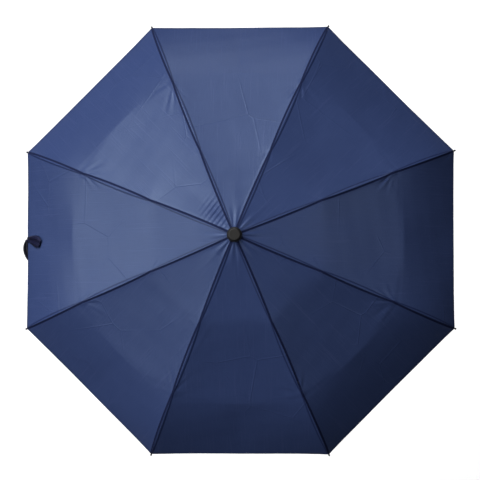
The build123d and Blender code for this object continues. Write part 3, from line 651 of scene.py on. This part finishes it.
# Name, colour, worn colour, roughness and the stretch of the streaks
METALS = (
    ("plated_steel", (0.62, 0.63, 0.65, 1), (0.50, 0.51, 0.53, 1), 0.26, (1, 1, 0.02)),
    ("rib_steel", (0.50, 0.51, 0.53, 1), (0.36, 0.37, 0.39, 1), 0.30, (1, 1, 1)),
    ("rib_aluminium", (0.64, 0.65, 0.67, 1), (0.48, 0.49, 0.51, 1), 0.27, (1, 1, 1)),
)
MATERIALS = {
    "cloth": cloth_material(),
    "tape": ribbon_material(),
    "grip": grip_material(),
    "floor": floor_material(),
}
for row in PLASTICS:
    MATERIALS[row[0]] = plastic_material(*row)
for row in METALS:
    MATERIALS[row[0]] = metal_material(*row)

# The nodes of each finish. A name that ends in an underscore has one node for each rib.
FINISHES = {
    "grip": ("handle_grip",),
    "black_plastic": ("handle_end_cap", "crown", "cap_washer", "runner", "runner_latch"),
    "cap_plastic": ("top_cap",),
    "plated_steel": ("lower_tube", "middle_tube", "upper_tube", "link_rod_"),
    "rib_steel": ("handle_pin", "lower_lock", "middle_lock", "crown_wire", "crown_pin", "runner_wire",
                  "latch_pin", "top_rib_", "stretcher_"),
    "rib_aluminium": ("mid_rib_",),
    "glass_fibre": ("outer_rib_",),
}


def finish_cad_nodes():
    """Each CAD piece that shows gets its own finish."""
    for finish, names in FINISHES.items():
        for name in names:
            nodes = [f"{name}{number}" for number in range(1, RIBS + 1)] if name.endswith("_") else [name]
            for node in nodes:
                mesh = frame["nodes"][node].data
                mesh.materials.clear()
                mesh.materials.append(MATERIALS[finish])


# ---- Canopy pieces ----
def mesh_object(name, points, faces, material):
    mesh = bpy.data.meshes.new(name)
    mesh.from_pydata([tuple(p) for p in points], [], [tuple(f) for f in faces])
    mesh.materials.append(material)
    mesh.polygons.foreach_set("use_smooth", [True] * len(mesh.polygons))
    piece = bpy.data.objects.new(name, mesh)
    bpy.context.scene.collection.objects.link(piece)
    return piece


def add_values(mesh, name, values):
    attribute = mesh.attributes.new(name, "FLOAT", "POINT")
    attribute.data.foreach_set("value", np.asarray(values, np.float32).ravel())


def fold_hem(points, normals):
    """Rows that carry the last row round the hem's edge and back under it."""
    inwards = points[-4] - points[-1]
    inwards /= np.linalg.norm(inwards, axis=1, keepdims=True)
    under = -normals[-1]
    rows, row_normals = [], []
    for inward, down, turn, _ in HEM_ROWS:
        rows.append(points[-1] + inwards * inward * MM + under * down * MM)
        facing = (1 - turn) * -inwards + turn * under
        row_normals.append(facing / np.linalg.norm(facing, axis=1, keepdims=True))
    return np.array(rows), np.array(row_normals)


ZONES = ("top", "mid", "outer")  # each is also the name of the ribs that carry it, such as top_rib_1
SIDES = (("right", -1), ("left", 1))


def rib_run(index):
    """Where a zone of the rib line starts, and the direction that it runs in."""
    start, end = RIB_LINE[ZONE_ROWS[index]], RIB_LINE[ZONE_ROWS[index + 1]]
    return start, (end - start) / np.linalg.norm(end - start)


def zones_of(points, angle):
    """For each face of a gore, the zone that it is in. A cut is where the next section of the rib starts."""
    reach = points[:, :, 0] * math.cos(angle) + points[:, :, 1] * math.sin(angle)
    zones = np.zeros((points.shape[0] - 1, points.shape[1] - 1), int)
    for index in range(1, len(ZONES)):
        start, (run, drop) = rib_run(index)
        past = (reach - start[0]) * run + (points[:, :, 2] - start[1]) * drop
        zones += past[1:, 1:] + past[1:, :-1] + past[:-1, 1:] + past[:-1, :-1] > 0
    return zones


def canopy_pieces():
    """The sheet, cut into half gores and square to the ribs at the hinges, so that it folds with the ribs."""
    sheet, signed, share = make_sheet()
    normals = normals_of(sheet)
    half_widths = RIB_LINE[:, 0] * math.sin(HALF_PITCH)
    width_count = 2 * HALF_COLUMNS + 1
    side = np.where(np.arange(width_count) < HALF_COLUMNS, -1, 1)
    under_hem = np.array([row[3] for row in HEM_ROWS])[:, None] * MM
    for rib in range(RIBS):
        columns = (rib * 2 * HALF_COLUMNS + np.arange(-HALF_COLUMNS, HALF_COLUMNS + 1)) % RING
        points, facing = sheet[:, columns], normals[:, columns]
        distance = side * np.abs(signed[:, columns])
        along = np.repeat(ALONG[:, None], width_count, axis=1)
        middle = side * (1 - share[:, columns]) * -half_widths[:, None]
        hem, hem_facing = fold_hem(points, facing)
        points = np.concatenate([points, hem])
        facing = np.concatenate([facing, hem_facing])
        distance = np.concatenate([distance] + [distance[-1:]] * len(hem))
        from_hem = np.concatenate([HEM_AT - along, np.zeros((len(hem), width_count)) + under_hem])
        along = np.concatenate([along, along[-1:] + under_hem])
        middle = np.concatenate([middle] + [middle[-1:]] * len(hem))
        zones = zones_of(points, RIB_ANGLES[rib])
        values = {
            "from_seam": distance - seam_shift(rib, along),
            "from_edge": distance - edge_shift(rib, along),
            "from_hem": from_hem,
            "along": along,
        }
        for index, zone in enumerate(ZONES):
            for side_name, panel_side in SIDES:
                chosen = (zones == index) & (side[:-1] == panel_side)[None, :]
                # The rib's own column is in both panels beside it, so it has two places in the pattern.
                pattern_x = np.where(side == panel_side, middle, -middle) + (rib + (panel_side > 0))
                vertices, corners = [], []
                for r, c in np.argwhere(chosen):
                    for a, b in ((r, c), (r + 1, c), (r + 1, c + 1), (r, c + 1)):
                        vertices.append(a * width_count + b)
                        corners.append((pattern_x[a, b], along[a, b]))
                used, places = np.unique(np.array(vertices), return_inverse=True)
                piece = mesh_object(f"canopy_{zone}_{side_name}_{rib + 1}", points.reshape(-1, 3)[used],
                                    places.reshape(-1, 4).tolist(), MATERIALS["cloth"])
                layer = piece.data.uv_layers.new(name="Gore")
                layer.data.foreach_set("uv", np.array(corners, np.float32).ravel())
                for name, value in values.items():
                    add_values(piece.data, name, value.ravel()[used])
                vertex_normals = [tuple(normal) for normal in facing.reshape(-1, 3)[used]]
                piece.data.normals_split_custom_set_from_vertices(vertex_normals)
                declare_canopy_piece(piece, f"{zone}_rib_{rib + 1}", zone)


def flatten_onto_rib(piece):
    """Gives the piece its own copy of its mesh; the cloth is not drawn in against the rib."""
    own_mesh(piece)


def declare_canopy_piece(piece, body, zone):
    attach(piece, body)
    flatten_onto_rib(piece)
    start, end = ZONE_ROWS[ZONES.index(zone)], ZONE_ROWS[ZONES.index(zone) + 1]
    area = sum(face.area for face in piece.data.polygons)
    reach = RIB_LINE[end, 0]
    if zone == "outer":
        # The hem's turned part isn't counted, and the hem is square to mid panel, not to the rib.
        area -= HEM_FOLD * reach * math.sin(HALF_PITCH)
        reach *= math.cos(HALF_PITCH) ** 2
    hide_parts("canopy")


# ---- Tie strap ----
STRAP_RIB = 4
STRAP_WIDTH = 22 * MM
STRAP_THICKNESS = 0.7 * MM
STRAP_COLUMNS = 17
STRAP_ROWS = 90
STRAP_SEWN = 4.5 * MM  # the hem is this far inside the end of the strap's CAD box
# Centre x, y, z from the hem in mm; width in mm; lean of its width to the upright, 0 to 1; pleat height in mm
STRAP_STATIONS = (
    (30, -9.5, 32.6, 17, 0.0, 0.6),
    (22, -4.5, 25.8, 25, 0.0, 1.3),
    (13, -1.0, 16.6, 21, 0.0, 2.0),
    (5, 1.5, 8.2, 14, 0.1, 2.0),
    (-0.5, 2.5, 1.2, 12, 0.45, 1.4),
    (-3.0, -2.0, -4.5, 15, 0.92, 0.9),
    (-4.5, -9.5, -9.0, 20, 1.0, 0.6),
    (-4.8, -18.0, -12.0, 22, 1.0, 0.5),
    (-3.2, -27.0, -15.0, 22, 1.0, 0.5),
    (1, -36.0, -19.0, 22, 1.0, 0.4),
    (9, -43.0, -25.0, 22, 0.95, 0.4),
    (17, -46.0, -34.0, 22, 0.85, 0.3),
    (23, -45.0, -45.0, 22, 0.75, 0.2),
)
STRAP_FLAT = (0.0, 1.0, 0.0)  # the direction of the strap's width where it lies on the cloth
STRAP_UPRIGHT = (0.42, 0.0, -0.91)  # and where it hangs


def sweep_ribbon(name, centres, sideways, widths, pleats, material):
    """A ribbon along a line of centres, and its length. Pleats are waves across it."""
    points, faces, uvs, edges = [], [], [], []
    run = 0.0
    for k, (centre, side, width) in enumerate(zip(centres, sideways, widths)):
        nearby = centres[min(k + 1, len(centres) - 1)] - centres[max(k - 1, 0)]
        square = np.cross(nearby, side)
        square /= np.linalg.norm(square)
        if k:
            run += float(np.linalg.norm(centre - centres[k - 1]))
        for c in range(STRAP_COLUMNS):
            x = c / (STRAP_COLUMNS - 1) - 0.5
            lift = pleats[k] * math.cos(x * 4 * math.pi)
            points.append(centre + side * width * x + square * lift)
            uvs.append((x * STRAP_WIDTH, run))
            edges.append((0.5 - abs(x)) * STRAP_WIDTH)
    for k in range(len(centres) - 1):
        for c in range(STRAP_COLUMNS - 1):
            a = k * STRAP_COLUMNS + c
            faces.append([a, a + STRAP_COLUMNS, a + STRAP_COLUMNS + 1, a + 1])
    piece = mesh_object(name, points, faces, material)
    layer = piece.data.uv_layers.new(name="Gore")
    for polygon in piece.data.polygons:
        for loop, vertex in zip(polygon.loop_indices, polygon.vertices):
            layer.data[loop].uv = uvs[vertex]
    add_values(piece.data, "from_edge", edges)
    return piece, run


def curve_through(points, count):
    """A smooth line, a Catmull-Rom curve, through a few given points."""
    points = np.array(points, float)
    line = np.zeros((count, points.shape[1]))
    for n, t in enumerate(np.linspace(0, len(points) - 1, count)):
        k = min(int(t), len(points) - 2)
        f = t - k
        p0, p1 = points[max(k - 1, 0)], points[k]
        p2, p3 = points[k + 1], points[min(k + 2, len(points) - 1)]
        line[n] = 0.5 * (2 * p1 + (p2 - p0) * f + (2 * p0 - 5 * p1 + 4 * p2 - p3) * f**2
                         + (3 * p1 - p0 - 3 * p2 + p3) * f**3)
    return line


def tie_strap():
    """A tape sewn to the hem: gathered there, fanned over the cloth, with a tail that curls over the edge."""
    hem_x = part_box("tie_strap")[0].x + STRAP_SEWN
    hem_z = RIB_LINE[-1][1] + HEM_UP
    line = curve_through(STRAP_STATIONS, STRAP_ROWS)
    centres = np.column_stack([hem_x + line[:, 0] * MM, line[:, 1] * MM, hem_z + line[:, 2] * MM])
    lean = np.clip(line[:, 4], 0, 1)[:, None]
    sideways = np.array(STRAP_FLAT) * (1 - lean) + np.array(STRAP_UPRIGHT) * lean
    tangents = np.gradient(centres, axis=0)
    tangents /= np.linalg.norm(tangents, axis=1, keepdims=True)
    sideways -= (sideways * tangents).sum(1, keepdims=True) * tangents
    sideways /= np.linalg.norm(sideways, axis=1, keepdims=True)
    widths, pleats = line[:, 3] * MM, line[:, 5] * MM
    piece, length = sweep_ribbon("tie_tape", centres, sideways, widths, pleats, MATERIALS["tape"])
    thicken = piece.modifiers.new("thickness", "SOLIDIFY")
    thicken.thickness = STRAP_THICKNESS
    thicken.offset = 0
    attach(piece, f"outer_rib_{STRAP_RIB}")
    flatten_onto_rib(piece)
    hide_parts("tie_strap")


# ---- Threads that tie the cloth to the ribs ----
THREAD_SIDES = 6
THREAD_REFERENCE = (0.3, 0.5, 0.81)  # a direction that no thread follows
WRAP_STEPS = 26
WRAP_SQUARENESS = 0.55  # 1 winds a thread in ellipses, less makes them squarer
# A wrap's thread radius, half width across the rib, low and high sides, turns and pitch
MID_WRAP = (0.22 * MM, 2.55 * MM, -2.4 * MM, 2.9 * MM, 3.2, 0.8 * MM)
TIP_WRAP = (0.25 * MM, 1.95 * MM, -1.95 * MM, 1.95 * MM, 4.2, 0.5 * MM)
MID_WRAP_PAST, MID_WRAP_BELOW = 17 * MM, 2.6 * MM  # from the inner hinge
TIP_WRAP_BACK = 10.5 * MM  # from the rib's end


def tube_object(name, path, radius, material):
    """A round thread along a line of points."""
    path = np.array(path)
    tangents = np.gradient(path, axis=0)
    tangents /= np.linalg.norm(tangents, axis=1, keepdims=True)
    points, faces = [], []
    for centre, tangent in zip(path, tangents):
        first = np.cross(tangent, THREAD_REFERENCE)
        first /= np.linalg.norm(first)
        second = np.cross(tangent, first)
        for k in range(THREAD_SIDES):
            a = 2 * math.pi * k / THREAD_SIDES
            points.append(centre + radius * (math.cos(a) * first + math.sin(a) * second))
    for n in range(len(path) - 1):
        for k in range(THREAD_SIDES):
            a, b = n * THREAD_SIDES + k, n * THREAD_SIDES + (k + 1) % THREAD_SIDES
            faces.append([a, b, b + THREAD_SIDES, a + THREAD_SIDES])
    faces.append(list(reversed(range(THREAD_SIDES))))
    faces.append([(len(path) - 1) * THREAD_SIDES + k for k in range(THREAD_SIDES)])
    return mesh_object(name, points, faces, material)


def rounded(value):
    """A sine or cosine, pushed towards 1 or -1 so that a circle becomes a rounded square."""
    return math.copysign(abs(value) ** WRAP_SQUARENESS, value)


def thread_wrap(centre, along, half_width, low, high, turns, pitch, angle):
    """A line of points wound round a rib. Its centre and its direction, along, are in the rib's plane."""
    square = np.array([-along[1], along[0]])
    out = np.array([math.cos(angle), math.sin(angle), 0])
    across = np.array([-math.sin(angle), math.cos(angle), 0])
    line = []
    for n in range(int(turns * WRAP_STEPS) + 1):
        a = 2 * math.pi * n / WRAP_STEPS
        y = half_width * rounded(math.cos(a))
        v = (low + high) / 2 + (high - low) / 2 * rounded(math.sin(a))
        u = pitch * n / WRAP_STEPS
        spot = centre + along * u + square * v
        line.append(out * spot[0] + across * y + np.array([0, 0, spot[1]]))
    return line


def ties():
    """Sewing threads hold the cloth to each mid rib, beside its hinge, and to each outer rib at its tip."""
    mid = (OUTER_HINGE - INNER_HINGE) / np.linalg.norm(OUTER_HINGE - INNER_HINGE)
    rod = (TIP_END - OUTER_HINGE) / np.linalg.norm(TIP_END - OUTER_HINGE)
    mid_centre = INNER_HINGE + mid * MID_WRAP_PAST - np.array([-mid[1], mid[0]]) * MID_WRAP_BELOW
    wraps = (
        ("tie_thread_mid", "mid_rib", mid_centre, mid, MID_WRAP),
        ("tip_thread", "outer_rib", TIP_END - rod * TIP_WRAP_BACK, rod, TIP_WRAP),
    )
    for rib, angle in enumerate(RIB_ANGLES):
        for name, member, centre, along, (radius, *wrap) in wraps:
            path = thread_wrap(centre, along, *wrap, angle)
            piece = tube_object(f"{name}_{rib + 1}", path, radius, MATERIALS["thread"])
            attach(piece, f"{member}_{rib + 1}")


# ---- Floor, light and camera ----
VIEW_TILT = math.radians(3.85)  # from straight above
VIEW_AZIMUTH = math.radians(-44)
VIEW_DISTANCE = 5.0
VIEW_WIDTH = 1.008  # of the frame, at the height of the tips
SENSOR_WIDTH = 36
CLIP_END = 30
FLOOR_Z = -0.9
FLOOR_REACH = 1.5  # the floor is small, so that the steep outer cloth doesn't mirror it
WORLD_LIGHT, WORLD_SEEN = 0.03, 1.0  # how bright the studio is as light, and where it is seen past the floor
LIGHT_DISTANCE = 6.0
# Name, azimuth and elevation in degrees, irradiance and width
SOFT_BOXES = (
    ("key", 120, 38, 2.60, 2.8),
    ("left", 178, 40, 1.45, 3.2),
    ("low_left", 168, 24, 0.45, 2.6),
    ("low_top", 90, 12, 0.50, 1.8),
    ("top", 80, 34, 0.26, 2.6),
    ("front_left", 214, 44, 0.46, 2.4),
    ("right", 352, 46, 0.42, 2.8),
)


def aim(position, target, up=(0, 1, 0)):
    """Where a camera or a lamp stands and how it is turned to face a target."""
    forward = (Vector(target) - Vector(position)).normalized()
    right = forward.cross(Vector(up)).normalized()
    top = right.cross(forward)
    rotation = Matrix((right, top, -forward)).transposed().to_4x4()
    return Matrix.Translation(position) @ rotation


def add_camera():
    data = bpy.data.cameras.new("camera")
    data.sensor_width = SENSOR_WIDTH
    data.lens = SENSOR_WIDTH * VIEW_DISTANCE / VIEW_WIDTH
    data.clip_end = CLIP_END
    camera = bpy.data.objects.new("camera", data)
    bpy.context.scene.collection.objects.link(camera)
    target = Vector((0, 0, TIP_END[1]))
    direction = Vector((
        math.sin(VIEW_TILT) * math.cos(VIEW_AZIMUTH),
        math.sin(VIEW_TILT) * math.sin(VIEW_AZIMUTH),
        math.cos(VIEW_TILT),
    ))
    camera.matrix_world = aim(target + direction * VIEW_DISTANCE, target)
    bpy.context.scene.camera = camera


def soft_box(name, azimuth, elevation, light, size):
    """A soft box that lights the canopy with the given irradiance, and doesn't show itself."""
    across = math.cos(math.radians(elevation)) * LIGHT_DISTANCE
    target = Vector((0, 0, INNER_HINGE[1]))
    offset = Vector((
        math.cos(math.radians(azimuth)) * across,
        math.sin(math.radians(azimuth)) * across,
        math.sin(math.radians(elevation)) * LIGHT_DISTANCE,
    ))
    data = bpy.data.lights.new(name, "AREA")
    data.shape = "DISK"
    data.size = size
    data.energy = light * math.pi * LIGHT_DISTANCE**2
    lamp = bpy.data.objects.new(name, data)
    bpy.context.scene.collection.objects.link(lamp)
    lamp.matrix_world = aim(target + offset, target, up=(0, 0.1, 1))
    lamp.visible_camera = False


def add_stage():
    signs = ((-1, -1), (1, -1), (1, 1), (-1, 1))
    corners = [(x * FLOOR_REACH, y * FLOOR_REACH, FLOOR_Z) for x, y in signs]
    floor = mesh_object("floor", corners, [(0, 1, 2, 3)], MATERIALS["floor"])
    for name, azimuth, elevation, light, box_size in SOFT_BOXES:
        soft_box(name, azimuth, elevation, light, box_size)
    world = bpy.data.worlds.new("studio")
    bpy.context.scene.world = world
    world.use_nodes = True
    nodes, links = world.node_tree.nodes, world.node_tree.links
    background = nodes["Background"]
    background.inputs[0].default_value = (1, 1, 1, 1)
    seen = nodes.new("ShaderNodeLightPath").outputs["Is Camera Ray"]
    strength = nodes.new("ShaderNodeMapRange")
    strength.inputs["To Min"].default_value = WORLD_LIGHT
    strength.inputs["To Max"].default_value = WORLD_SEEN
    links.new(seen, strength.inputs["Value"])
    links.new(strength.outputs[0], background.inputs[1])


bpy.context.scene.view_settings.view_transform = "Standard"
finish_cad_nodes()
canopy_pieces()
tie_strap()
ties()
add_stage()
add_camera()
